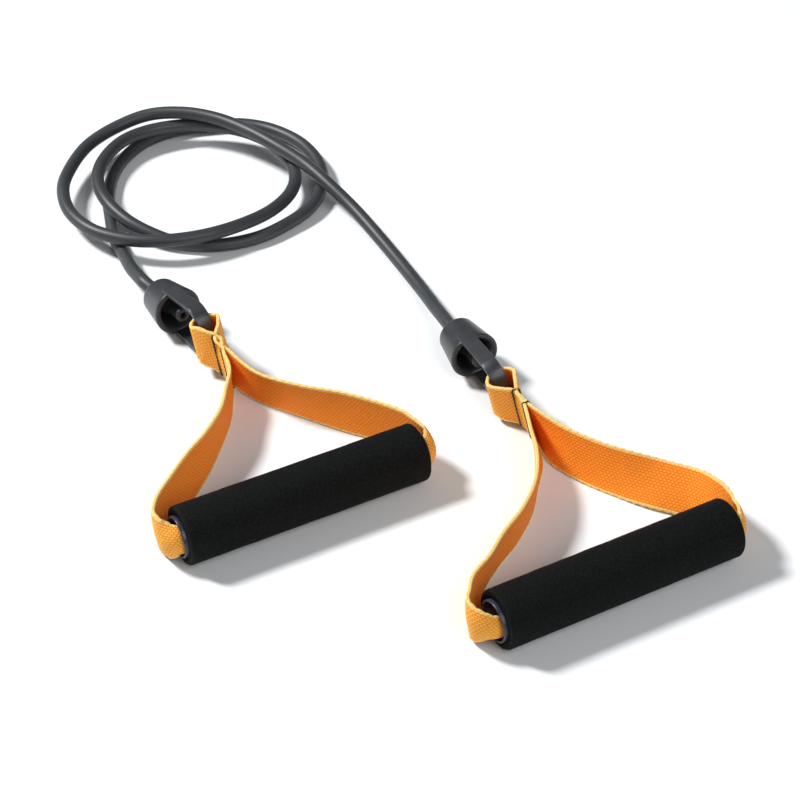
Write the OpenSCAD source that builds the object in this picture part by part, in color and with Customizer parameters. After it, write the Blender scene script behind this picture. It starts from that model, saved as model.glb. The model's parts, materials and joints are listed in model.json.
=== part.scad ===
// Resistance band lying at rest: a looped rubber tube, and at each end a moulded connector,
// a sewn webbing strap and a foam grip. Millimetres, +Z up, the floor is Z = 0.

/* [Tube] */
// Outside diameter of the rubber tube
tube_d = 7.4; // [6.8:0.1:7.8]
// Inside diameter of the rubber tube
tube_bore_d = 3.4; // [2.4:0.1:4.2]
// Diameter of the ball that is pushed into each end of the tube
plug_d = 8.8; // [8:0.1:9.2]

/* [Connector] */
// Length of the cup along the tube
cup_len = 23; // [22:0.5:24]
// Outside diameter of the cup behind its rounded shoulder
cup_rear_d = 20.8; // [20:0.2:22]
// Outside diameter of the cup at its mouth
cup_mouth_d = 26.6; // [26:0.2:27.4]
// Inside diameter of the cup
cup_bore_d = 18.8; // [17:0.2:19.6]
// Distance from the cup's rear face to the middle of the bail's crossbar
bail_reach = 57; // [56:0.5:58]
// Width of the bail's flat band
bail_w = 8.2; // [7:0.2:8.4]
// Thickness of the bail's flat band
bail_t = 2.6; // [2:0.1:2.8]

/* [Webbing] */
// Width of the webbing
web_w = 25; // [24:0.2:25.4]
// Thickness of the webbing
web_t = 1.8; // [1.4:0.1:2]

/* [Grip] */
// Length of the foam sleeve
foam_len = 130; // [128:1:131]
// Outside diameter of the foam sleeve
foam_d = 30.2; // [29:0.1:30.4]
// Outside diameter of the core tube
core_d = 21.4; // [21:0.1:22]
// Inside diameter of the core tube
core_bore_d = 19; // [18.8:0.1:19.4]
// How far the core tube stands out of the foam at each end
core_proud = 2; // [1.5:0.1:2.2]

/* [Hidden] */
$fn = 48;
LEFT = 0;
RIGHT = 1;

// Colours of the real pieces
rubber_colour = [0.20, 0.22, 0.25];
moulding_colour = [0.17, 0.18, 0.20];
webbing_colour = [1.00, 0.62, 0.16];
thread_colour = [0.20, 0.12, 0.05];
core_colour = [0.25, 0.30, 0.45];
foam_colour = [0.06, 0.06, 0.06];

// Where each connector lies: middle of its cup's mouth, heading of the tube's end, tilt and roll
mouth_at = [[-132, 111, 15], [25, 72.3, 15.6]];
heading = [-58, -65];
cup_tilt = [8.5, 2];
roll = [6, 18];

// Cup and bail
cup_mid_x = 3;
hub_len = 6;
tube_gap = 0.4;
cup_edge = 1;
bail_root_x = 17;
bail_root_h = 13;
bail_half_h = 15.8;
bail_corner_r = 11;
bail_front_x = bail_reach + bail_t / 2;

// Tube end inside the cup, as distances from the cup's rear face
plug_x = 11;
plug_swell_r = 6.2;
tail_end_x = 28.5;
tube_sides = 12;
tube_out = 6;

// The tube's middle line between the two connectors, as it lies
route = [
    [-153, 141, 12], [-161, 157, 9], [-167, 174, 6], [-174, 193, 4], [-178, 213, 4],
    [-181, 234, 4], [-180, 256, 4], [-174, 275, 4], [-163, 291, 4], [-146, 302, 4],
    [-126, 307, 4], [-107, 308, 4], [-89, 301, 4.5], [-72, 285, 5.5], [-61, 263, 6], [-59, 241, 6],
    [-65, 221, 5], [-80, 204, 4], [-96, 192, 4], [-116, 186, 4], [-136, 187, 4.5],
    [-152, 192, 7], [-168, 202, 10], [-180, 217, 12], [-187, 237, 12], [-186, 257, 12],
    [-177, 277, 12], [-162, 289, 12], [-142, 295, 12], [-122, 294, 12], [-102, 287, 11.5],
    [-85, 272, 11], [-75, 250, 10.5], [-76, 229, 10.5], [-87, 209, 11], [-105, 193, 12],
    [-125, 182, 13], [-146, 177, 13.5], [-166, 179, 13], [-186, 189, 12.5], [-200, 207, 12],
    [-206, 229, 12], [-204, 250, 12], [-196, 272, 13], [-181, 288, 15], [-162, 297, 18],
    [-141, 296, 20], [-121, 289, 20.5], [-102, 276, 20.5], [-85, 261, 20], [-69, 247, 17.5],
    [-54, 230, 14], [-39, 212, 9], [-24, 188, 5.5], [-12, 165, 4.5], [-2, 142, 6],
    [5, 121, 10]
];

// Where each grip lies: middle of the foam's left end, and the way it points
grip_at = [[-119.3, -65.6, 15.1], [30.4, -122.6, 15.1]];
grip_heading = [28.6, 29.3];

// Where the two layers of each strap are sewn: distance ahead of the cup's rear face, and sideways shift
seam_x = [[69.5, 79], [69, 79.5]];
seam_y = [[0, 0], [3, 3.5]];
seam_z = [[16.6, 14.3], [14.4, 13.7]];
layer_gap = 0.3;
thread_t = 0.7;
thread_gap = 0.15;

// The strap's eye round the crossbar: angle, how far the webbing's middle is from the bar, gathered width
eye = [
    [-50, 7.6, 22.5], [-92, 7.6, 21], [-138, 7.1, 19.8], [180, 6.8, 19.8], [138, 7.1, 19.8],
    [92, 7.6, 21], [50, 7.6, 22.5]
];
// How much less than the connector the eye and the seam roll
eye_roll = [0, 5];

// Stations of each leg: x, y, z of the webbing's middle, then how far its top edge leans in x and in y
right_leg = [
    [[-86, 49.3, 13.2, -2, -5], [-64, 38.6, 13, -1, -4], [-43, 30.3, 13, 0, 1], [-25, 22.7, 13, 0, 1]],
    [[63.9, 5.1, 13, 3.3, 2], [80, -7.6, 12.3, 7, 4.5], [96, -16, 11.6, 6, 9.2],
        [112, -22.2, 10.6, 7, 15], [129, -29.3, 10.6, 6, 14.5]]
];
left_leg = [
    [[-128.8, -47, 13.5, -4, 1], [-122.7, -32, 13, -5.6, 1], [-116.4, -16, 13, -4.6, 2],
        [-110.2, -1, 13, -1.4, 2], [-104.6, 18, 13, 0.8, 1], [-102, 35, 13, -0.7, 0],
        [-101.2, 50, 13.4, 0, 0]],
    [[21.5, -103, 13.4, -3, 1], [26.4, -89, 13, 2.7, -1], [34, -72, 13, 2.8, -1],
        [43.6, -55, 13, 3, 0], [51, -35, 13, 1.8, 0], [53.6, -15, 13, -0.6, 0], [54, 3, 13.2, -6.5, -1]]
];

// The turn at each end of a grip: how far out of the foam's end, how far towards the strap's inside,
// the height of the webbing's middle above the grip's axis, how far its top edge leans out of the foam's
// end and towards the strap's inside, how many degrees its section curls, and its gathered width
right_turn = [
    [[1.9, 20.5, -1, 0.5, 0, -8, 25], [4.2, 13.5, -1, 0.5, 0, -12, 25],
        [6.2, 7, -0.8, 0.5, 0, -25, 25], [8.4, 1, 0, 0, 2, -60, 24],
        [7.6, -3.3, 1.2, -0.5, 4.5, -100, 21], [5, -6.3, 2, 0, 6.7, -132, 19]],
    [[5, 19, -1.2, 8, 3, -8, 25], [5.8, 12, -1, 6, 0, -15, 25], [6.8, 6, -0.8, 3, 0, -30, 25],
        [8, 0.8, 0, 0.5, 1, -60, 24], [7, -3.3, 0, 0, 0, -85, 20], [4.7, -6, -0.5, 0, 0, -100, 16]]
];
left_turn = [
    [[4.7, -6.3, 2, 0, 6.7, -132, 19], [7.6, -3.5, 1, 0.5, 5, -105, 21.5],
        [9.2, 0.5, 0, 1.5, 2, -65, 24], [9, 6, -0.5, 3, 0, -30, 25], [6.8, 13, -1.5, 3, 0, -10, 25]],
    [[5.4, -6, 0.5, 0, 0, -100, 16], [9.8, -3.2, 1, 1, 1, -75, 19.5], [12.2, 1.5, 0.8, 2, 1, -50, 23],
        [11, 7, 0, 3.5, 0, -25, 25], [6.6, 13, -1.5, 3, 0, -10, 25]]
];
in_core = [[0, -7.3, 2, 0, 6.7, -137, 19], [0, -6.8, -0.5, 0, 0, -105, 14.5]];
core_marks = [0, 4, 12, 40];
web_steps = 3;
web_across = 6;

// Vectors and frames
function unit(v) = v / norm(v);
function flat_dir(a) = [cos(a), sin(a), 0];
function cup_x(side) =
    [cos(heading[side]) * cos(cup_tilt[side]), sin(heading[side]) * cos(cup_tilt[side]), sin(cup_tilt[side])];
function cup_y0(side) = flat_dir(heading[side] + 90);
function cup_z0(side) = cross(cup_x(side), cup_y0(side));
function cup_z(side) = cup_z0(side) * cos(roll[side]) - cup_y0(side) * sin(roll[side]);
function cup_y(side) = cup_y0(side) * cos(roll[side]) + cup_z0(side) * sin(roll[side]);
function cup_rear(side) = mouth_at[side] - cup_x(side) * cup_len;
function strap_z(side) =
    cup_z0(side) * cos(roll[side] - eye_roll[side]) - cup_y0(side) * sin(roll[side] - eye_roll[side]);
function in_cup(side, x, y, z) =
    cup_rear(side) + cup_x(side) * x + cup_y(side) * y + cup_z(side) * z;

module at_cup(side) {
    translate(cup_rear(side))
        rotate([0, 0, heading[side]])
            rotate([0, -cup_tilt[side], 0])
                rotate([roll[side], 0, 0])
                    children();
}

module at_grip(side) {
    translate(grip_at[side])
        rotate([0, 0, grip_heading[side]])
            rotate([0, 90, 0])
                children();
}

// A smooth curve through points that come one after another
function spline(a, b, c, d, t) =
    0.5 * (2 * b + (c - a) * t + (2 * a - 5 * b + 4 * c - d) * t * t + (3 * b - a - 3 * c + d) * t * t * t);
function smooth_loop(p, steps) = [
    for (i = [0:len(p) - 1], k = [0:steps - 1])
        spline(p[(i + len(p) - 1) % len(p)], p[i], p[(i + 1) % len(p)], p[(i + 2) % len(p)], k / steps)
];

// Triangles between rings of the same number of points; a closed sweep joins its last ring to its first
function ring_faces(rings, sides, closed) = [
    for (i = [0:rings - (closed ? 1 : 2)], j = [0:sides - 1])
        let (
            a = i * sides + j,
            b = i * sides + (j + 1) % sides,
            c = ((i + 1) % rings) * sides + (j + 1) % sides,
            d = ((i + 1) % rings) * sides + j
        )
        each [[a, b, c], [a, c, d]]
];

// Tube: the rings of each end run out of the ball's hollow, along the bore and back over the outside
tube_r = tube_d / 2;
bore_r = tube_bore_d / 2;
hollow_r = plug_d / 2 * 1.06;
hollow_angles = [10, 35, 60, 85, 110, 135, 160];
end_profile = concat(
    [for (a = hollow_angles) [plug_x - hollow_r * cos(a), hollow_r * sin(a)]],
    [
        [plug_x + hollow_r + 1, bore_r], [tail_end_x, bore_r], [tail_end_x, tube_r - 0.1],
        [plug_x + 6.5, tube_r - 0.1], [plug_x + 3, 5.6], [plug_x, plug_swell_r], [plug_x - 3, 5.4],
        [hub_len + 0.5, tube_r], [-tube_out, tube_r]
    ]
);
function end_ring(side, x, r, flip) = [
    for (j = [0:tube_sides - 1])
        let (a = 360 * j / tube_sides)
        in_cup(side, x, 0, 0) + r * (cos(a) * cup_y0(side) * flip + sin(a) * cup_z0(side))
];
function route_dir(i) =
    unit((i < len(route) - 1 ? route[i + 1] : in_cup(RIGHT, -tube_out, 0, 0))
        - (i > 0 ? route[i - 1] : in_cup(LEFT, -tube_out, 0, 0)));
function route_ring(i) =
    let (
        t = route_dir(i),
        y = unit(cross(t, [0, 0, 1])),
        z = cross(y, t)
    )
    [for (j = [0:tube_sides - 1]) let (a = 360 * j / tube_sides) route[i] + tube_r * (cos(a) * y + sin(a) * z)];
tube_rings = concat(
    [for (e = end_profile) end_ring(LEFT, e[0], e[1], 1)],
    [for (i = [0:len(route) - 1]) route_ring(i)],
    [for (k = [len(end_profile) - 1:-1:0]) end_ring(RIGHT, end_profile[k][0], end_profile[k][1], -1)]
);

// Strap: stations run down the right leg, through the core, up the left leg and round the eye
function leg_station(s) =
    [s[0], s[1], s[2], s[3], s[4], sqrt(pow(web_w, 2) - pow(s[3], 2) - pow(s[4], 2)), 0, web_w];
function turn_station(side, end_x, out, s) =
    let (
        u = flat_dir(grip_heading[side]),
        p = grip_at[side] + u * (end_x + out * s[0]) + flat_dir(grip_heading[side] + 90) * s[1],
        lean = u * out * s[3] + flat_dir(grip_heading[side] + 90) * s[4]
    )
    [p[0], p[1], p[2] + s[2], lean[0], lean[1], 25, s[5], s[6] * web_w / 25];
function layer_station(side, row, layer) =
    let (
        p = in_cup(side, seam_x[side][row], seam_y[side][row], 0)
            + cup_y0(side) * layer * (web_t + layer_gap) / 2,
        z = strap_z(side) * 25
    )
    [p[0], p[1], seam_z[side][row], z[0], z[1], z[2], 0, web_w];
function eye_station(side, e) =
    let (
        p = in_cup(side, bail_reach + e[1] * cos(e[0]), e[1] * sin(e[0]), 0),
        z = strap_z(side) * 25
    )
    [p[0], p[1], p[2], z[0], z[1], z[2], 0, e[2]];
function strap_stations(side) = concat(
    [for (s = right_leg[side]) leg_station(s)],
    [for (s = right_turn[side]) turn_station(side, foam_len, 1, s)],
    [for (m = core_marks) turn_station(side, foam_len - m, 0, in_core[side])],
    [for (k = [len(core_marks) - 1:-1:0]) turn_station(side, core_marks[k], 0, in_core[side])],
    [for (s = left_turn[side]) turn_station(side, 0, -1, s)],
    [for (s = left_leg[side]) leg_station(s)],
    [layer_station(side, 1, -1), layer_station(side, 0, -1)],
    [for (e = eye) eye_station(side, e)],
    [layer_station(side, 0, 1), layer_station(side, 1, 1)]
);
function part_of(v, from) = [v[from], v[from + 1], v[from + 2]];
function web_section(s, before, after) =
    let (
        along = unit(part_of(after, 0) - part_of(before, 0)),
        lean = unit(part_of(s, 3)),
        inward = unit(cross(along, lean)),
        up = cross(inward, along),
        width = s[7],
        curl = min(s[6], -0.5),
        r = width / (curl * PI / 180)
    )
    [
        for (face = [1, -1], k = [0:web_across])
            let (
                a = curl * (face * (k / web_across - 0.5)),
                n = inward * cos(a) + up * sin(a)
            )
            part_of(s, 0) - inward * r + n * (r + face * web_t / 2)
    ];
function strap_sections(stations) = [
    for (i = [0:len(stations) - 1])
        web_section(
            stations[i],
            stations[(i + len(stations) - 1) % len(stations)],
            stations[(i + 1) % len(stations)]
        )
];

module tube() {
    last = len(tube_rings) - 1;
    color(rubber_colour)
        polyhedron(
            points = [for (r = tube_rings) each r],
            faces = concat(
                ring_faces(len(tube_rings), tube_sides, false),
                [[for (j = [tube_sides - 1:-1:0]) j], [for (j = [0:tube_sides - 1]) last * tube_sides + j]]
            )
        );
}

// Ball pushed into the tube's end, which stops it being pulled out of the cup
module plug(side) {
    color(moulding_colour)
        at_cup(side)
            translate([plug_x, 0, 0])
                sphere(d = plug_d);
}

// Half section of the cup: distance from its axis, then distance from its rear face
module cup_profile() {
    hole_r = tube_r + tube_gap;
    rear_r = cup_rear_d / 2;
    mouth_r = cup_mouth_d / 2;
    bore_r = cup_bore_d / 2;
    translate([rear_r - cup_mid_x, cup_mid_x])
        circle(r = cup_mid_x);
    translate([hole_r, 0])
        square([rear_r - cup_mid_x - hole_r, hub_len]);
    polygon([
        [bore_r - 3, hub_len], [rear_r - cup_mid_x - 1, cup_mid_x], [rear_r, cup_mid_x],
        [mouth_r, cup_len - cup_edge], [mouth_r - cup_edge, cup_len], [bore_r + cup_edge, cup_len],
        [bore_r, cup_len - 2 * cup_edge], [bore_r, hub_len + 3]
    ]);
}

// Outline of the bail seen from the side, grown inwards by t
module bail_outline(t) {
    corner_x = bail_front_x - bail_corner_r;
    corner_z = bail_half_h - bail_corner_r;
    polygon([
        [bail_root_x, t - bail_root_h], [corner_x, t - bail_half_h], [corner_x, bail_half_h - t],
        [bail_root_x, bail_root_h - t]
    ]);
    translate([corner_x, -corner_z])
        square([bail_corner_r - t, 2 * corner_z]);
    for (s = [-1, 1])
        translate([corner_x, s * corner_z])
            circle(r = bail_corner_r - t);
}

// One moulding: the cup that holds the tube's end, and the bail that the strap goes round
module connector(side) {
    color(moulding_colour)
        at_cup(side) {
            rotate([0, 90, 0])
                rotate_extrude()
                    cup_profile();
            difference() {
                rotate([90, 0, 0])
                    linear_extrude(bail_w, center = true)
                        difference() {
                            bail_outline(0);
                            bail_outline(bail_t);
                        }
                rotate([0, 90, 0])
                    cylinder(d = cup_bore_d + 1, h = cup_len);
            }
        }
}

module strap(side) {
    sections = strap_sections(smooth_loop(strap_stations(side), web_steps));
    color(webbing_colour)
        polyhedron(
            points = [for (s = sections) each s],
            faces = ring_faces(len(sections), 2 * (web_across + 1), true)
        );
}

// Thread sewn round both layers of the strap, row 0 next to the eye and row 1 next to the legs
module stitch(side, row) {
    inner = [2 * web_t + layer_gap + 2 * thread_gap, web_w + 2 * thread_gap];
    p = in_cup(side, seam_x[side][row], seam_y[side][row], 0);
    color(thread_colour)
        translate([p[0], p[1], seam_z[side][row]])
            rotate([0, 0, heading[side]])
                rotate([0, -cup_tilt[side], 0])
                    rotate([roll[side] - eye_roll[side], 0, 0])
                        rotate([90, 0, 90])
                            linear_extrude(thread_t, center = true)
                                difference() {
                                    square(inner + [2, 2] * thread_t, center = true);
                                    square(inner, center = true);
                                }
}

// Plastic tube that the webbing runs through
module core(side) {
    color(core_colour)
        at_grip(side)
            translate([0, 0, -core_proud])
                difference() {
                    cylinder(d = core_d, h = foam_len + 2 * core_proud);
                    translate([0, 0, -1])
                        cylinder(d = core_bore_d, h = foam_len + 2 * core_proud + 2);
                }
}

// Foam sleeve with rounded ends
module foam(side) {
    edge_r = 1.6;
    wall = (foam_d - core_d) / 2;
    color(foam_colour)
        at_grip(side)
            rotate_extrude()
                difference() {
                    union() {
                        for (z = [edge_r, foam_len - edge_r])
                            translate([foam_d / 2 - edge_r, z])
                                circle(r = edge_r);
                        translate([core_d / 2, 0])
                            square([wall - edge_r, foam_len]);
                        translate([core_d / 2, edge_r])
                            square([wall, foam_len - 2 * edge_r]);
                    }
                    square([core_d / 2, foam_len]);
                }
}

tube();
plug(LEFT);  // plug_left
plug(RIGHT);  // plug_right
connector(LEFT);  // connector_left
strap(LEFT);  // strap_left
stitch(LEFT, 1);  // stitch_front_left
stitch(LEFT, 0);  // stitch_rear_left
core(LEFT);  // core_left
foam(LEFT);  // foam_left
connector(RIGHT);  // connector_right
strap(RIGHT);  // strap_right
stitch(RIGHT, 1);  // stitch_front_right
stitch(RIGHT, 0);  // stitch_rear_right
core(RIGHT);  // core_right
foam(RIGHT);  // foam_right
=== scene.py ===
"""Looks of the resistance band: rubber tube, moulded connectors, sewn webbing and foam grips.

Lengths are in metres in the row frame. Each connector's and grip's place comes from its joints.
"""

import json
import math

import bpy
import numpy as np
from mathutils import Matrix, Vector, noise


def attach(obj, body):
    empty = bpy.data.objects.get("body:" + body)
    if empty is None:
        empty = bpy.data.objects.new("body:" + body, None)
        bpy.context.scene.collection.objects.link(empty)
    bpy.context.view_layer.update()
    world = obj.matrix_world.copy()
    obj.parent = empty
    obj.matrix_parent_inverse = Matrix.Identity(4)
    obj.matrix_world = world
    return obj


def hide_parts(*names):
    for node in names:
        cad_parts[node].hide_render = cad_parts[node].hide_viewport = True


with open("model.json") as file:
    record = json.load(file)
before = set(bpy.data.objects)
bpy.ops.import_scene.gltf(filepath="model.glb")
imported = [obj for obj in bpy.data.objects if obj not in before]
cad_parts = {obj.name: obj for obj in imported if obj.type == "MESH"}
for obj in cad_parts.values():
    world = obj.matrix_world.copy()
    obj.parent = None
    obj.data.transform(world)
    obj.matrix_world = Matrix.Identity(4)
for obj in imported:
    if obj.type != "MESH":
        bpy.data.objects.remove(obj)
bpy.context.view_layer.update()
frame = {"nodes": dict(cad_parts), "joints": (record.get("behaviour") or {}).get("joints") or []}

MM = 0.001
SIDES = ("left", "right")
UP = np.array([0.0, 0.0, 1.0])


# ---------------------------------------------------------------- camera

VIEW_TARGET = Vector((-0.014, 0.055, 0.0))
VIEW_ELEVATION = 0.69105
VIEW_DISTANCE = 1.299
FOCAL_PIXELS = 2501
IMAGE_PIXELS = 800


def make_camera():
    data = bpy.data.cameras.new("camera")
    data.sensor_width = 36
    data.lens = FOCAL_PIXELS / IMAGE_PIXELS * data.sensor_width
    camera = bpy.data.objects.new("camera", data)
    back = Vector((0, -math.cos(VIEW_ELEVATION), math.sin(VIEW_ELEVATION)))
    camera.location = VIEW_TARGET + VIEW_DISTANCE * back
    camera.rotation_euler = (math.pi / 2 - VIEW_ELEVATION, 0, 0)
    bpy.context.scene.collection.objects.link(camera)
    bpy.context.scene.camera = camera


# ---------------------------------------------------------------- vectors, curves and meshes


def unit(v):
    v = np.asarray(v, float)
    return v / np.linalg.norm(v)


def catmull_rom(a, b, c, d, t):
    return 0.5 * (
        2 * b + (c - a) * t + (2 * a - 5 * b + 4 * c - d) * t**2 + (3 * b - a - 3 * c + d) * t**3
    )


def smooth_line(points, steps, closed=False):
    """Points on a smooth curve through the given rows, with that many steps between each two."""
    p = np.asarray(points, float)
    n = len(p)
    if closed:
        rows = [p[(i + k) % n] for i in range(n) for k in (-1, 0, 1, 2)]
    else:
        rows = [p[min(max(i + k, 0), n - 1)] for i in range(n - 1) for k in (-1, 0, 1, 2)]
    line = []
    for i in range(0, len(rows), 4):
        line += [catmull_rom(*rows[i : i + 4], k / steps) for k in range(steps)]
    if not closed:
        line.append(p[-1])
    return np.array(line)


def even_line(points, spacing, closed=False):
    """The same curve, sampled again so that its points are about that far apart."""
    p = np.asarray(points, float)
    if closed:
        p = np.vstack([p, p[:1]])
    at = np.concatenate([[0], np.cumsum(np.linalg.norm(np.diff(p[:, :3], axis=0), axis=1))])
    count = max(3, round(at[-1] / spacing))
    where = np.linspace(0, at[-1], count + 1)
    line = np.column_stack([np.interp(where, at, p[:, k]) for k in range(p.shape[1])])
    return (line[:-1] if closed else line), at[-1]


def add_mesh(name, vertices, faces, uv=None, smooth=True):
    """A mesh object. uv holds one (u, v) row for each corner of each face."""
    mesh = bpy.data.meshes.new(name)
    mesh.from_pydata(np.asarray(vertices, float).tolist(), [], [tuple(map(int, f)) for f in faces])
    if uv is not None:
        layer = mesh.uv_layers.new(name="surface")
        layer.data.foreach_set("uv", np.asarray(uv, np.float32).ravel())
    mesh.polygons.foreach_set("use_smooth", [smooth] * len(mesh.polygons))
    mesh.update()
    piece = bpy.data.objects.new(name, mesh)
    bpy.context.scene.collection.objects.link(piece)
    return piece


def sweep(name, rings, along, across, closed=False, capped=False):
    """A skin over rings of points. along gives each ring's distance, across each point's."""
    rings = np.asarray(rings, float)
    count, sides = rings.shape[:2]
    i = np.arange(count if closed else count - 1)[:, None]
    j = np.arange(sides)[None, :]
    i2, j2 = (i + 1) % count, (j + 1) % sides
    quads = np.stack([i * sides + j, i * sides + j2, i2 * sides + j2, i2 * sides + j], -1).reshape(-1, 4)
    along = np.append(along, along[-1] + (along[-1] - along[-2]))
    across = np.append(across, across[-1] + (across[-1] - across[-2]))
    u0, u1 = along[i] + 0 * j, along[i + 1] + 0 * j
    v0, v1 = across[j] + 0 * i, across[j + 1] + 0 * i
    uv = np.stack([u0, v0, u0, v1, u1, v1, u1, v0], -1).reshape(-1, 2)
    faces = quads.tolist()
    if capped:
        faces += [list(range(sides))[::-1], [(count - 1) * sides + k for k in range(sides)]]
        uv = np.vstack([uv, np.zeros((2 * sides, 2))])
    return add_mesh(name, rings.reshape(-1, 3), faces, uv)


def revolve(name, profile, origin, axis, side, segments):
    """A closed profile of (distance along the axis, radius) turned about the axis."""
    third = np.cross(axis, side)
    angles = np.linspace(0, 2 * math.pi, segments, endpoint=False)
    rings = [
        [origin + axis * x + r * (side * math.cos(a) + third * math.sin(a)) for x, r in profile]
        for a in angles
    ]
    return sweep(
        name, rings, angles * profile[:, 1].max(), np.cumsum(np.full(len(profile), MM)), closed=True
    )


def arc(centre, radius, start, end, steps):
    """Points on an arc in a profile's plane, angles in degrees."""
    a = np.radians(np.linspace(start, end, steps + 1))
    return [(centre[0] + radius * math.cos(t), centre[1] + radius * math.sin(t)) for t in a]


def ripple(point, size, seed):
    """Smooth noise between about -1 and 1 at a point, for bumps of that size."""
    return noise.noise(Vector(point) / size + Vector((seed, seed * 1.7, seed * 0.3)))


# ---------------------------------------------------------------- materials


class Nodes:
    """Short helpers to wire a material's nodes."""

    def __init__(self, name):
        self.material = bpy.data.materials.new(name)
        self.material.use_nodes = True
        self.tree = self.material.node_tree
        self.shader = self.tree.nodes["Principled BSDF"]

    def add(self, kind, **values):
        node = self.tree.nodes.new(kind)
        for key, value in values.items():
            setattr(node, key, value)
        return node

    def link(self, source, target):
        self.tree.links.new(source, target)

    def set(self, **values):
        for key, value in values.items():
            self.shader.inputs[key.replace("_", " ").title().replace("Ior", "IOR")].default_value = value

    def math(self, operation, a, b=None, clamp=False):
        node = self.add("ShaderNodeMath", operation=operation, use_clamp=clamp)
        for socket, value in zip(node.inputs, (a, b)):
            if value is None:
                continue
            if isinstance(value, (int, float)):
                socket.default_value = value
            else:
                self.link(value, socket)
        return node.outputs[0]

    def noise(self, scale, detail=2.0, vector=None):
        node = self.add("ShaderNodeTexNoise")
        node.inputs["Scale"].default_value = scale
        node.inputs["Detail"].default_value = detail
        self.link(vector or self.place(), node.inputs["Vector"])
        return node.outputs["Fac"]

    def cells(self, scale, vector=None):
        node = self.add("ShaderNodeTexVoronoi")
        node.inputs["Scale"].default_value = scale
        self.link(vector or self.place(), node.inputs["Vector"])
        return node.outputs["Distance"]

    def place(self):
        if not hasattr(self, "coordinates"):
            self.coordinates = self.add("ShaderNodeTexCoord")
        return self.coordinates.outputs["Object"]

    def ramp(self, factor, stops):
        """stops: (position, colour) pairs."""
        node = self.add("ShaderNodeValToRGB")
        elements = node.color_ramp.elements
        while len(elements) < len(stops):
            elements.new(0.5)
        for element, (position, colour) in zip(elements, stops):
            element.position = position
            element.color = (*colour, 1)
        self.link(factor, node.inputs["Fac"])
        return node.outputs["Color"]

    def tint(self, factor, dark, light):
        """Base colour between two shades."""
        self.link(self.ramp(factor, [(0.3, dark), (0.7, light)]), self.shader.inputs["Base Color"])

    def bump(self, height, distance, strength=1.0, after=None):
        node = self.add("ShaderNodeBump")
        node.inputs["Distance"].default_value = distance
        node.inputs["Strength"].default_value = strength
        self.link(height, node.inputs["Height"])
        if after is not None:
            self.link(after, node.inputs["Normal"])
        return node.outputs["Normal"]

    def between(self, value, low, high):
        """0 below low, 1 above high."""
        node = self.add("ShaderNodeMapRange")
        node.inputs["From Min"].default_value = low
        node.inputs["From Max"].default_value = high
        self.link(value, node.inputs["Value"])
        return node.outputs["Result"]

    def mix(self, factor, first, second):
        """Between two colours."""
        node = self.add("ShaderNodeMix", data_type="RGBA")
        for socket, value in ((0, factor), (6, first), (7, second)):
            self.link(value, node.inputs[socket])
        return node.outputs[2]

    def roughness_between(self, factor, low, high):
        node = self.add("ShaderNodeMapRange")
        node.inputs["To Min"].default_value = low
        node.inputs["To Max"].default_value = high
        self.link(factor, node.inputs["Value"])
        self.link(node.outputs["Result"], self.shader.inputs["Roughness"])


def rubber_material():
    m = Nodes("tube_rubber")
    m.set(specular_ior_level=0.45)
    cloud = m.noise(60, 3)
    m.tint(cloud, (0.030, 0.034, 0.038), (0.042, 0.046, 0.050))
    m.roughness_between(m.noise(900, 2), 0.4, 0.52)
    m.link(m.bump(m.noise(1400, 2), 0.00003, 0.5), m.shader.inputs["Normal"])
    return m.material


def moulding_material():
    m = Nodes("connector_plastic")
    m.set(specular_ior_level=0.5)
    cloud = m.noise(120, 3)
    m.tint(cloud, (0.027, 0.030, 0.034), (0.037, 0.040, 0.045))
    m.roughness_between(m.noise(700, 2), 0.27, 0.38)
    m.link(m.bump(m.noise(2600, 2), 0.00003, 0.5), m.shader.inputs["Normal"])
    return m.material


def foam_material():
    m = Nodes("foam")
    m.set(specular_ior_level=0.09)
    grain = m.noise(900, 3)
    m.tint(grain, (0.0015, 0.0018, 0.0018), (0.008, 0.009, 0.009))
    m.roughness_between(m.noise(1500, 2), 0.62, 0.8)
    pores = m.bump(m.cells(2200), 0.00012, 0.7)
    m.link(m.bump(m.noise(800, 4), 0.0004, 0.7, pores), m.shader.inputs["Normal"])
    return m.material


def core_material():
    m = Nodes("core_plastic")
    m.set(specular_ior_level=0.5)
    cloud = m.noise(200, 2)
    m.tint(cloud, (0.022, 0.025, 0.045), (0.030, 0.034, 0.060))
    m.roughness_between(m.noise(900, 2), 0.26, 0.36)
    m.link(m.bump(m.noise(1800, 2), 0.00003, 0.5), m.shader.inputs["Normal"])
    return m.material


def thread_material():
    m = Nodes("thread")
    m.tint(m.noise(2500, 2), (0.012, 0.007, 0.004), (0.04, 0.022, 0.010))
    m.roughness_between(m.noise(3000, 2), 0.55, 0.75)
    m.link(m.bump(m.noise(5000, 2), 0.00006, 0.6), m.shader.inputs["Normal"])
    return m.material


WEFT_PITCH = 2.1 * MM
WARP_PITCH = 1.4 * MM
WEB_FACE = 24.125 * MM
# Insets from each face's edge where the painted edge highlight begins and where it is full.
SELVEDGE_HIGHLIGHT = (1.3 * MM, 0.7 * MM)


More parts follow.
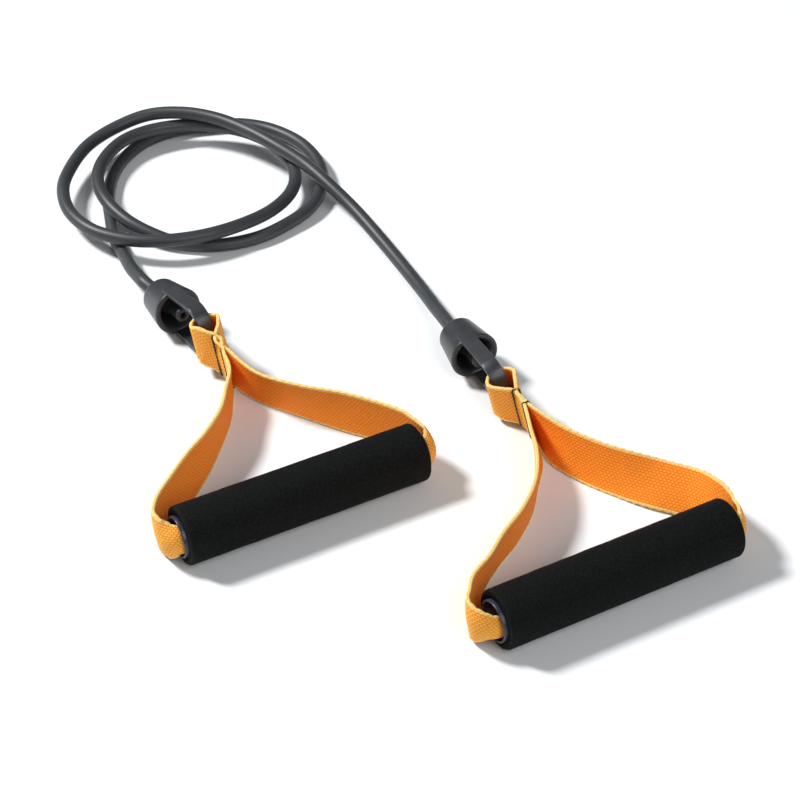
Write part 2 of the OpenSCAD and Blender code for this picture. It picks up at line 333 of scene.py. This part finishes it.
def webbing_material():
    """Woven tape: rows of short floats along the strap, each row half a step from the next."""
    m = Nodes("webbing")
    m.set(specular_ior_level=0.15, subsurface_weight=0.35, subsurface_scale=0.0025)
    m.shader.inputs["Subsurface Radius"].default_value = (1.0, 0.3, 0.08)
    uv = m.add("ShaderNodeUVMap", uv_map="surface").outputs["UV"]
    split = m.add("ShaderNodeSeparateXYZ")
    m.link(uv, split.inputs[0])
    along, across = split.outputs["X"], split.outputs["Y"]
    column = m.math("DIVIDE", across, WARP_PITCH)
    odd = m.math("FLOORED_MODULO", m.math("FLOOR", column), 2)
    step = m.math("ADD", m.math("DIVIDE", along, WEFT_PITCH), m.math("MULTIPLY", odd, 0.5))
    float_height = m.math("ABSOLUTE", m.math("SINE", m.math("MULTIPLY", step, math.pi)))
    column_height = m.math("ABSOLUTE", m.math("SINE", m.math("MULTIPLY", column, math.pi)))
    weave = m.math("MULTIPLY", m.math("POWER", float_height, 0.6), m.math("POWER", column_height, 0.5))
    fibres = m.noise(3500, 3)
    height = m.math("ADD", weave, m.math("MULTIPLY", fibres, 0.35))
    # Painted shade and highlight: the weave's floats are coloured lighter and more yellow on top and darker in the
    # gaps between them, mixed with random tone.
    weave_shade_and_tone = m.math("ADD", m.math("MULTIPLY", weave, 0.7), m.math("MULTIPLY", m.noise(700, 3), 0.4))
    # Painted light and shade: the outer face is coloured paler and more gold, as if lit, and the inner face darker
    # and redder, as if in shade.
    inner_face_painted_shade = m.ramp(weave_shade_and_tone, [(0.1, (0.72, 0.13, 0.006)), (0.55, (0.98, 0.26, 0.02)), (0.95, (1.0, 0.38, 0.04))])
    outer_face_painted_light = m.ramp(weave_shade_and_tone, [(0.1, (0.55, 0.17, 0.010)), (0.55, (0.88, 0.35, 0.04)), (0.95, (0.98, 0.52, 0.11))])
    # Painted highlight: a pale yellow band along both edges of each face, standing in for light catching the
    # selvedges.
    selvedge_highlight = m.ramp(weave_shade_and_tone, [(0.1, (0.72, 0.34, 0.06)), (0.6, (0.97, 0.66, 0.24))])
    lap = web_distances()[WEB_ACROSS + 5]
    colour = m.mix(m.math("GREATER_THAN", across, lap - 1 * MM), inner_face_painted_shade, outer_face_painted_light)
    from_middle = m.math("ABSOLUTE", m.math("SUBTRACT", m.math("FLOORED_MODULO", across, lap), WEB_FACE / 2))
    edge_highlight_mask = m.between(from_middle, *(WEB_FACE / 2 - inset for inset in SELVEDGE_HIGHLIGHT))
    m.link(m.mix(edge_highlight_mask, colour, selvedge_highlight), m.shader.inputs["Base Color"])
    m.roughness_between(fibres, 0.55, 0.75)
    m.link(m.bump(height, 0.00025, 0.8), m.shader.inputs["Normal"])
    return m.material


def floor_material():
    m = Nodes("floor")
    m.set(base_color=(0.87, 0.89, 0.90, 1), roughness=0.9, specular_ior_level=0.1)
    return m.material


def finish_piece(piece, material, body):
    piece.data.materials.clear()
    piece.data.materials.append(material)
    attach(piece, body)


# ---------------------------------------------------------------- where things are

joints = {j["name"]: j for j in frame["joints"]}


class Cup:
    """A connector's own frame: x along the tube's end, z across the bail, from its rear face."""

    def __init__(self, side):
        swivel, swing = joints["swivel_" + side], joints["swing_" + side]
        self.rear = np.array(swivel["pos_m"])
        self.x = unit(swivel["axis"])
        self.z = unit(swing["axis"])
        self.y = np.cross(self.z, self.x)
        self.level = unit(np.cross(UP, self.x))
        self.reach = float(np.dot(np.array(swing["pos_m"]) - self.rear, self.x))

    def at(self, x, y=0.0, z=0.0):
        """The place in the row frame of a point in this frame."""
        return self.rear + self.x * x + self.y * y + self.z * z


class Grip:
    """A grip's own frame: x along it from the foam's left end, y towards the strap's seam."""

    def __init__(self, side):
        spin = joints["spin_" + side]
        self.x = unit(spin["axis"])
        self.y = np.cross(UP, self.x)
        self.start = np.array(spin["pos_m"]) - self.x * FOAM_LENGTH / 2

    def at(self, x, y=0.0, z=0.0):
        return self.start + self.x * x + self.y * y + UP * z


FOAM_LENGTH = 130 * MM
FOAM_RADIUS = 15.1 * MM
CORE_RADIUS = 10.7 * MM
CORE_BORE_RADIUS = 9.5 * MM
CORE_PROUD = 2 * MM
TUBE_DIAMETER = 7.4 * MM

cups = {side: Cup(side) for side in SIDES}
grips = {side: Grip(side) for side in SIDES}


# ---------------------------------------------------------------- tube

# The tube's middle line between the two connectors, in millimetres as in the part's own source
ROUTE = [
    (-153, 141, 12), (-161, 157, 9), (-167, 174, 6), (-174, 193, 4), (-178, 213, 4),
    (-181, 234, 4), (-180, 256, 4), (-174, 275, 4), (-163, 291, 4), (-146, 302, 4),
    (-126, 307, 4), (-107, 308, 4), (-89, 301, 4.5), (-72, 285, 5.5), (-61, 263, 6), (-59, 241, 6),
    (-65, 221, 5), (-80, 204, 4), (-96, 192, 4), (-116, 186, 4), (-136, 187, 4.5),
    (-152, 192, 7), (-168, 202, 10), (-180, 217, 12), (-187, 237, 12), (-186, 257, 12),
    (-177, 277, 12), (-162, 289, 12), (-142, 295, 12), (-122, 294, 12), (-102, 287, 11.5),
    (-85, 272, 11), (-75, 250, 10.5), (-76, 229, 10.5), (-87, 209, 11), (-105, 193, 12),
    (-125, 182, 13), (-146, 177, 13.5), (-166, 179, 13), (-186, 189, 12.5), (-200, 207, 12),
    (-206, 229, 12), (-204, 250, 12), (-196, 272, 13), (-181, 288, 15), (-162, 297, 18),
    (-141, 296, 20), (-121, 289, 20.5), (-102, 276, 20.5), (-85, 261, 20), (-69, 247, 17.5),
    (-54, 230, 14), (-39, 212, 9), (-24, 188, 5.5), (-12, 165, 4.5), (-2, 142, 6),
    (5, 121, 10),
]
PLUG_AT = 11 * MM
TAIL_END = 28.5 * MM
TUBE_OUT = 6 * MM
TUBE_STEP = 1.6 * MM
TUBE_SIDES = 28
END_REACH = 50 * MM


def tube_radius(from_rear):
    """Outer radius of the tube's end, swollen over its ball, by distance ahead of the cup's rear face."""
    swell = math.exp(-(((from_rear - PLUG_AT) / (3.6 * MM)) ** 2))
    return TUBE_DIAMETER / 2 + (2.4 * MM) * swell


def make_tube(material):
    ends = {s: [cups[s].at(x) for x in np.linspace(TAIL_END, -TUBE_OUT, 12)] for s in SIDES}
    middle = smooth_line(np.array(ROUTE) * MM, 12)
    line = np.vstack([ends["left"], middle, ends["right"][::-1]])
    line, _ = even_line(line, TUBE_STEP)
    tangents = np.gradient(line, axis=0)
    rings, angles = [], np.linspace(0, 2 * math.pi, TUBE_SIDES, endpoint=False)
    for point, tangent in zip(line, tangents):
        tangent = unit(tangent)
        across = unit(np.cross(tangent, UP))
        above = np.cross(across, tangent)
        ahead = [np.dot(point - cups[s].rear, cups[s].x) for s in SIDES]
        near = [np.linalg.norm(point - cups[s].rear) for s in SIDES]
        closest = int(near[1] < near[0])
        radius = tube_radius(ahead[closest]) if near[closest] < END_REACH else TUBE_DIAMETER / 2
        rings.append([point + radius * (across * math.cos(a) + above * math.sin(a)) for a in angles])
    rings = np.array(rings)

    def mouth(ring, centre, inward):
        """Rings that round the open end's lip and go down its bore."""
        for scale, depth in ((0.97, 0), (0.9, -0.25), (0.62, -0.35), (0.5, -0.1), (0.46, 3)):
            yield centre + (ring - centre) * scale + inward * depth * MM
        yield centre + (ring - centre) * 0.45 + inward * 9 * MM

    first = list(mouth(rings[0], line[0], unit(tangents[0])))[::-1]
    last = list(mouth(rings[-1], line[-1], -unit(tangents[-1])))
    skin = np.array(first + list(rings) + last)
    along = np.arange(len(skin)) * TUBE_STEP
    tube = sweep("rubber_tube", skin[:, ::-1], along, angles * TUBE_DIAMETER / 2, capped=True)
    finish_piece(tube, material, "band")
    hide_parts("tube")


# ---------------------------------------------------------------- connectors

CUP_LENGTH = 23 * MM
CUP_REAR_RADIUS = 10.4 * MM
CUP_MOUTH_RADIUS = 13.3 * MM
CUP_BORE_RADIUS = 9.4 * MM
HUB_LENGTH = 6 * MM
HOLE_RADIUS = TUBE_DIAMETER / 2 + 0.4 * MM
BAIL_WIDTH = 8.2 * MM
BAIL_THICKNESS = 2.6 * MM
BAIL_ROOT_X = 17 * MM
BAIL_ROOT_HEIGHT = 13 * MM
BAIL_HALF_HEIGHT = 15.8 * MM
BAIL_CORNER = 11 * MM


def cup_profile():
    """Half section of the cup: distance from the rear face, then radius, once round."""
    shoulder = 3 * MM
    lip = 0.7 * MM
    outer = arc((shoulder, CUP_REAR_RADIUS - shoulder), shoulder, 180, 90, 8)
    mouth = arc((CUP_LENGTH - lip, CUP_MOUTH_RADIUS - lip), lip, 80, 0, 4)
    bevel = [
        (CUP_LENGTH, CUP_BORE_RADIUS + 1.6 * MM),
        (CUP_LENGTH - 0.3 * MM, CUP_BORE_RADIUS + 1.2 * MM),
        (CUP_LENGTH - 2 * MM, CUP_BORE_RADIUS),
        (HUB_LENGTH + 6 * MM, CUP_BORE_RADIUS - 0.6 * MM),
    ]
    floor = arc((HUB_LENGTH + 3 * MM, CUP_BORE_RADIUS - 3.8 * MM), 3 * MM, 90, 180, 6)
    hole = [
        (HUB_LENGTH, HOLE_RADIUS + 0.5 * MM),
        (HUB_LENGTH - 0.5 * MM, HOLE_RADIUS),
        (0.6 * MM, HOLE_RADIUS),
        (0, HOLE_RADIUS + 0.6 * MM),
    ]
    flank = [
        (shoulder + (CUP_LENGTH - lip - shoulder) * t,
         CUP_REAR_RADIUS + (CUP_MOUTH_RADIUS - CUP_REAR_RADIUS) * t)
        for t in np.linspace(0.12, 0.94, 8)
    ]
    return np.array(outer + flank + mouth + bevel + floor + hole)


def bail_line():
    """Middle line of the bail's band in the connector's x and z, from root to root."""
    half = BAIL_THICKNESS / 2
    front = cups["left"].reach + half
    centre_x, centre_z = front - BAIL_CORNER, BAIL_HALF_HEIGHT - BAIL_CORNER
    top = [(BAIL_ROOT_X, BAIL_ROOT_HEIGHT - half)]
    corner = arc((centre_x, centre_z), BAIL_CORNER - half, 90, 0, 12)
    upper = np.array(top + corner)
    lower = upper[::-1] * (1, -1)
    return even_line(np.vstack([upper, lower]), 0.9 * MM)[0]


def bail_section():
    """Rounded outline of the bail's band: across its width, then through its thickness."""
    w, t, r = BAIL_WIDTH / 2, BAIL_THICKNESS / 2, 0.55 * MM
    outline = []
    for sy, sz, start in ((1, 1, 0), (-1, 1, 90), (-1, -1, 180), (1, -1, 270)):
        outline += arc((sy * (w - r), sz * (t - r)), r, start, start + 90, 4)
    return np.array(outline)


def add_bail(cup, name):
    line = bail_line()
    tangents = np.gradient(line, axis=0)
    section = bail_section()
    rings = []
    for (x, z), (dx, dz) in zip(line, tangents):
        dx, dz = unit((dx, dz))
        out_x, out_z = -dz, dx
        rings.append([cup.at(x + out_x * t, w, z + out_z * t) for w, t in section])
    return sweep(name, rings, np.arange(len(rings)) * MM, np.arange(len(section)) * MM, capped=True)


def boolean(target, other, operation):
    modifier = target.modifiers.new("join", "BOOLEAN")
    modifier.operation = operation
    modifier.solver = "EXACT"
    modifier.object = other
    apply_modifiers(target)
    bpy.data.objects.remove(other)


def apply_modifiers(piece):
    graph = bpy.context.evaluated_depsgraph_get()
    mesh = bpy.data.meshes.new_from_object(piece.evaluated_get(graph))
    piece.modifiers.clear()
    piece.data = mesh


def flip_if_inside_out(piece):
    """Turns the faces round when the closed mesh has a negative volume."""
    mesh = piece.data
    co = np.array([v.co for v in mesh.vertices])
    mesh.calc_loop_triangles()
    tri = np.array([t.vertices for t in mesh.loop_triangles])
    a, b, c = co[tri[:, 0]], co[tri[:, 1]], co[tri[:, 2]]
    if np.einsum("ij,ij->i", a, np.cross(b, c)).sum() < 0:
        mesh.flip_normals()


def make_connector(side, material):
    cup = cups[side]
    body = revolve("connector_moulding_" + side, cup_profile(), cup.rear, cup.x, cup.y, 96)
    bail = add_bail(cup, "bail")
    clear = np.array([(HUB_LENGTH + MM, 0.0001), (CUP_LENGTH + 0.2 * MM, 0.0001),
                      (CUP_LENGTH + 0.2 * MM, CUP_BORE_RADIUS + 0.6 * MM),
                      (HUB_LENGTH + MM, CUP_BORE_RADIUS + 0.6 * MM)])
    room = revolve("room", clear, cup.rear, cup.x, cup.y, 64)
    for piece in (body, bail, room):
        flip_if_inside_out(piece)
    boolean(bail, room, "DIFFERENCE")
    boolean(body, bail, "UNION")
    body.data.polygons.foreach_set("use_smooth", [True] * len(body.data.polygons))
    body.data.set_sharp_from_angle(angle=math.radians(40))
    finish_piece(body, material, "connector_" + side)
    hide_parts("connector_" + side)


# ---------------------------------------------------------------- straps

WEB_WIDTH = 25 * MM
WEB_THICKNESS = 1.8 * MM
LAYER_GAP = 0.3 * MM

# The strap's eye round the crossbar: angle, distance of the webbing's middle from the bar, gathered width
EYE = ((-50, 7.6, 22.5), (-92, 7.6, 21), (-138, 7.1, 19.8), (180, 6.8, 19.8), (138, 7.1, 19.8),
       (92, 7.6, 21), (50, 7.6, 22.5))
EYE_ROLL = {"left": 0, "right": math.radians(5)}
SEAM_X = {"left": (69.5, 79), "right": (69, 79.5)}
SEAM_Y = {"left": (0, 0), "right": (3, 3.5)}
SEAM_Z = {"left": (16.6, 14.3), "right": (14.4, 13.7)}

# Stations of each leg in millimetres: the webbing's middle, then how far its top edge leans in x and y
RIGHT_LEG = {
    "left": [(-86, 49.3, 13.2, -2, -5), (-64, 38.6, 13, -1, -4), (-43, 30.3, 13, 0, 1), (-25, 22.7, 13, 0, 1)],
    "right": [(63.9, 5.1, 13, 3.3, 2), (80, -7.6, 12.3, 7, 4.5), (96, -16, 11.6, 6, 9.2), (112, -22.2, 10.6, 7, 15),
              (129, -29.3, 10.6, 6, 14.5)],
}
LEFT_LEG = {
    "left": [(-128.8, -47, 13.5, -4, 1), (-122.7, -32, 13, -5.6, 1), (-116.4, -16, 13, -4.6, 2),
             (-110.2, -1, 13, -1.4, 2), (-104.6, 18, 13, 0.8, 1), (-102, 35, 13, -0.7, 0), (-101.2, 50, 13.4, 0, 0)],
    "right": [(21.5, -103, 13.4, -3, 1), (26.4, -89, 13, 2.7, -1), (34, -72, 13, 2.8, -1), (43.6, -55, 13, 3, 0),
              (51, -35, 13, 1.8, 0), (53.6, -15, 13, -0.6, 0), (54, 3, 13.2, -6.5, -1)],
}

# Turns at the grip's ends in millimetres: out of the foam, towards the seam, up, lean of the top edge
# out of the foam's end and towards the seam, then degrees of curl and width where the webbing is gathered
RIGHT_TURN = {
    "left": [(1.9, 20.5, -1, 0.5, 0, -8, 25), (4.2, 13.5, -1, 0.5, 0, -12, 25), (6.2, 7, -0.8, 0.5, 0, -25, 25),
             (8.4, 1, 0, 0, 2, -60, 24), (7.6, -3.3, 1.2, -0.5, 4.5, -100, 21), (5, -6.3, 2, 0, 6.7, -132, 19)],
    "right": [(5, 19, -1.2, 8, 3, -8, 25), (5.8, 12, -1, 6, 0, -15, 25), (6.8, 6, -0.8, 3, 0, -30, 25),
              (8, 0.8, 0, 0.5, 1, -60, 24), (7, -3.3, 0, 0, 0, -85, 20), (4.7, -6, -0.5, 0, 0, -100, 16)],
}
LEFT_TURN = {
    "left": [(4.7, -6.3, 2, 0, 6.7, -132, 19), (7.6, -3.5, 1, 0.5, 5, -105, 21.5), (9.2, 0.5, 0, 1.5, 2, -65, 24),
             (9, 6, -0.5, 3, 0, -30, 25), (6.8, 13, -1.5, 3, 0, -10, 25)],
    "right": [(5.4, -6, 0.5, 0, 0, -100, 16), (9.8, -3.2, 1, 1, 1, -75, 19.5), (12.2, 1.5, 0.8, 2, 1, -50, 23),
              (11, 7, 0, 3.5, 0, -25, 25), (6.6, 13, -1.5, 3, 0, -10, 25)],
}
IN_CORE = {"left": (0, -7.3, 2, 0, 6.7, -137, 19), "right": (0, -6.8, -0.5, 0, 0, -105, 14.5)}
CORE_MARKS = (0, 4, 12, 40)


def station(point, lean, curl, width):
    return [*point, *(unit(lean) * WEB_WIDTH), curl, width]


def leg_station(s):
    x, y, z, dx, dy = (v * MM for v in s)
    rise = math.sqrt(WEB_WIDTH**2 - dx**2 - dy**2)
    return station((x, y, z), (dx, dy, rise), 0, WEB_WIDTH)


def turn_station(grip, end_x, out, s):
    x, y, z = (v * MM for v in s[:3])
    lean = 25 * UP + grip.x * out * s[3] + grip.y * s[4]
    return station(grip.at(end_x + out * x, y, z), lean, s[5], s[6] * MM)


def seam_point(side, row):
    cup = cups[side]
    point = cup.at(SEAM_X[side][row] * MM, SEAM_Y[side][row] * MM)
    point[2] = SEAM_Z[side][row] * MM
    return point


def strap_up(side):
    """The way the webbing stands in the eye and the seam, rolled a little less than the connector."""
    cup = cups[side]
    return cup.z * math.cos(EYE_ROLL[side]) + cup.y * math.sin(EYE_ROLL[side])


def layer_station(side, row, layer):
    cup = cups[side]
    point = seam_point(side, row) + cup.level * layer * (WEB_THICKNESS + LAYER_GAP) / 2
    return station(point, strap_up(side), 0, WEB_WIDTH)


def eye_station(side, angle, radius, width):
    cup = cups[side]
    a = math.radians(angle)
    point = cup.at(cup.reach + radius * MM * math.cos(a), radius * MM * math.sin(a))
    return station(point, strap_up(side), 0, width * MM)


def strap_stations(side):
    grip = grips[side]
    rows = [leg_station(s) for s in RIGHT_LEG[side]]
    rows += [turn_station(grip, FOAM_LENGTH, 1, s) for s in RIGHT_TURN[side]]
    rows += [turn_station(grip, FOAM_LENGTH - m * MM, 0, IN_CORE[side]) for m in CORE_MARKS]
    rows += [turn_station(grip, m * MM, 0, IN_CORE[side]) for m in CORE_MARKS[::-1]]
    rows += [turn_station(grip, 0, -1, s) for s in LEFT_TURN[side]]
    rows += [leg_station(s) for s in LEFT_LEG[side]]
    rows += [layer_station(side, row, -1) for row in (1, 0)]
    rows += [eye_station(side, *e) for e in EYE]
    rows += [layer_station(side, row, 1) for row in (0, 1)]
    return np.array(rows)


WEB_ACROSS = 36
WEB_STEP = 0.7 * MM
SCALLOP_PITCH = 2 * WEFT_PITCH
SCALLOP_DEPTH = 0.45 * MM


def web_outline():
    """Flattened outline of the webbing: share of the half width, then share of the half thickness."""
    face = np.linspace(-0.965, 0.965, WEB_ACROSS)
    edge = [(math.cos(a), math.sin(a)) for a in np.radians((55, 25, 0, -25, -55))]
    right = [(0.965 + 0.035 * c, s) for c, s in edge]
    return np.array([(x, 1.0) for x in face] + right + [(x, -1.0) for x in face[::-1]]
                    + [(-x, -t) for x, t in right])


def web_distances():
    """How far round the outline each of its points is."""
    steps = np.diff(web_outline() * (WEB_WIDTH / 2, WEB_THICKNESS / 2), axis=0)
    return np.concatenate([[0], np.cumsum(np.linalg.norm(steps, axis=1))])


def make_strap(side, material):
    rows, length = even_line(smooth_line(strap_stations(side), 10, closed=True), WEB_STEP, closed=True)
    points, leans = rows[:, :3], rows[:, 3:6]
    tangents = np.roll(points, -1, 0) - np.roll(points, 1, 0)
    pitch = length / round(length / SCALLOP_PITCH)
    outline = web_outline()
    rings = []
    for i, (point, lean, tangent) in enumerate(zip(points, leans, tangents)):
        along = unit(tangent)
        inward = unit(np.cross(along, lean))
        up = np.cross(inward, along)
        curl = math.radians(min(rows[i, 6], -0.5))
        width = rows[i, 7]
        wave = abs(math.sin(math.pi * i * length / len(points) / pitch))
        radius = width / curl
        scallop = SCALLOP_DEPTH * (wave - 0.6)
        ring = []
        for share, depth in outline:
            edge = max(0.0, (abs(share) - 0.9) / 0.1)
            angle = curl / 2 * share * (1 + 2 * scallop * edge / width)
            thick = WEB_THICKNESS / 2 * depth * (1 - 0.12 * edge * (1 - wave))
            normal = inward * math.cos(angle) + up * math.sin(angle)
            ring.append(point - inward * radius + normal * (radius + thick))
        rings.append(ring)
    along = np.arange(len(rings)) * length / len(rings)
    strap = sweep("webbing_" + side, rings, along, web_distances(), closed=True)
    flip_if_inside_out(strap)
    finish_piece(strap, material, "strap_" + side)
    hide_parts("strap_" + side)


# ---------------------------------------------------------------- stitches

THREAD_RADIUS = 0.42 * MM
THREAD_SIDES = 10


def thread_ring(side, row):
    """Closed line of one row of thread round both layers, dipping between stitches."""
    cup = cups[side]
    half_t = WEB_THICKNESS + LAYER_GAP / 2 + 0.1 * MM
    half_w = WEB_WIDTH / 2 + 0.15 * MM
    corner = 1.1 * MM
    outline = []
    for sy, sz, start in ((1, 1, 0), (-1, 1, 90), (-1, -1, 180), (1, -1, 270)):
        outline += arc((sy * (half_t - corner), sz * (half_w - corner)), corner, start, start + 90, 5)
    line, length = even_line(np.array([(y, z, 0) for y, z in outline]), 0.3 * MM, closed=True)
    centre = seam_point(side, row)
    stitches = 2 * round(length / (4.6 * MM))
    points = []
    for i, (y, z, _) in enumerate(line):
        dip = 0.16 * MM * math.cos(2 * math.pi * stitches * i / len(line))
        slant = 0.2 * MM * math.sin(2 * math.pi * stitches * i / len(line))
        out = unit((y, 0)) if abs(y) > half_t - corner and abs(z) < half_w - corner else (0, 0)
        y = y - out[0] * dip
        points.append(centre + cup.level * y + strap_up(side) * z + cup.x * slant)
    return np.array(points)


def thread_tube(name, line, radius):
    """A three-ply thread along a closed line."""
    tangents = np.roll(line, -1, 0) - np.roll(line, 1, 0)
    side = unit(np.cross(tangents[0], (0.3, 0.5, 0.8)))
    rings = []
    for k, (point, tangent) in enumerate(zip(line, tangents)):
        tangent = unit(tangent)
        side = unit(side - tangent * np.dot(side, tangent))
        other = np.cross(tangent, side)
        ring = []
        for a in np.linspace(0, 2 * math.pi, THREAD_SIDES, endpoint=False):
            ply = 1 + 0.14 * math.cos(3 * (a - 0.5 * k))
            ring.append(point + radius * ply * (side * math.cos(a) + other * math.sin(a)))
        rings.append(ring)
    piece = sweep(name, rings, np.arange(len(rings)) * MM, np.arange(THREAD_SIDES) * MM, closed=True)
    flip_if_inside_out(piece)
    return piece


def make_stitches(side, material):
    for row, label in enumerate(("rear", "front")):
        thread = thread_tube("thread_%s_%s" % (label, side), thread_ring(side, row), THREAD_RADIUS)
        finish_piece(thread, material, "strap_" + side)
        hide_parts("stitch_%s_%s" % (label, side))


# ---------------------------------------------------------------- grips


def foam_profile():
    edge = 1.4 * MM
    inner = CORE_RADIUS + 0.02 * MM
    outline = [(0, inner)]
    outline += arc((edge, FOAM_RADIUS - edge), edge, 180, 90, 8)
    outline += [(x, FOAM_RADIUS) for x in np.arange(4, 127) * MM]
    outline += arc((FOAM_LENGTH - edge, FOAM_RADIUS - edge), edge, 90, 0, 8)
    outline += [(FOAM_LENGTH, inner)]
    return np.array(outline)


def core_profile():
    lip = 0.6 * MM
    start, end = -CORE_PROUD, FOAM_LENGTH + CORE_PROUD
    outline = arc((start + lip, CORE_RADIUS - lip), lip, 180, 90, 4)
    outline += arc((end - lip, CORE_RADIUS - lip), lip, 90, 0, 4)
    outline += arc((end - lip, CORE_BORE_RADIUS + lip), lip, 0, -90, 4)
    outline += arc((start + lip, CORE_BORE_RADIUS + lip), lip, 270, 180, 4)
    return np.array(outline)


def make_grip(side, foam_look, core_look):
    grip = grips[side]
    foam = revolve("foam_sleeve_" + side, foam_profile(), grip.start, grip.x, grip.y, 96)
    seed = 3.0 + SIDES.index(side)
    for v in foam.data.vertices:
        out = np.array(v.co) - grip.start
        out -= grip.x * np.dot(out, grip.x)
        if np.linalg.norm(out) > CORE_RADIUS + 0.5 * MM:
            swell = 0.12 * ripple(v.co, 9 * MM, seed) + 0.05 * ripple(v.co, 2.2 * MM, seed)
            v.co += Vector(unit(out) * (swell - 0.12) * MM)
    flip_if_inside_out(foam)
    finish_piece(foam, foam_look, "grip_" + side)
    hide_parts("foam_" + side)
    core = revolve("core_tube_" + side, core_profile(), grip.start, grip.x, grip.y, 96)
    flip_if_inside_out(core)
    finish_piece(core, core_look, "grip_" + side)
    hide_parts("core_" + side)


# ---------------------------------------------------------------- floor and light


FLOOR_HALF = 3.0


def make_stage():
    corners = [(x * FLOOR_HALF, y * FLOOR_HALF, 0) for x, y in ((-1, -1), (1, -1), (1, 1), (-1, 1))]
    floor = add_mesh("floor", corners, [(0, 1, 2, 3)], smooth=False)
    floor.data.materials.append(floor_material())


def area_light(name, place, target, size, power):
    data = bpy.data.lights.new(name, "AREA")
    data.shape = "DISK"
    data.size = size
    data.energy = power
    light = bpy.data.objects.new(name, data)
    light.location = place
    direction = Vector(target) - Vector(place)
    light.rotation_euler = direction.to_track_quat("-Z", "Y").to_euler()
    bpy.context.scene.collection.objects.link(light)


def make_light():
    area_light("key", (-1.93, 0.71, 2.22), (-0.02, 0.05, 0), 0.6, 112)
    area_light("fill", (0.9, -1.3, 1.5), (0, 0, 0), 1.6, 21)
    world = bpy.data.worlds.new("studio")
    world.use_nodes = True
    background = world.node_tree.nodes["Background"]
    background.inputs["Color"].default_value = (0.94, 0.98, 1.04, 1)
    background.inputs["Strength"].default_value = 0.13
    bpy.context.scene.world = world
    view = bpy.context.scene.view_settings
    view.view_transform = "Standard"
    view.look = "None"
    view.exposure = 0.0


# ---------------------------------------------------------------- build

make_camera()
make_tube(rubber_material())

moulding = moulding_material()
webbing = webbing_material()
thread = thread_material()
foam_look = foam_material()
core_look = core_material()
for side in SIDES:
    make_connector(side, moulding)
    make_strap(side, webbing)
    make_stitches(side, thread)
    make_grip(side, foam_look, core_look)
    plug = frame["nodes"]["plug_" + side]
    plug.data.materials.clear()
    plug.data.materials.append(moulding)

make_stage()
make_light()
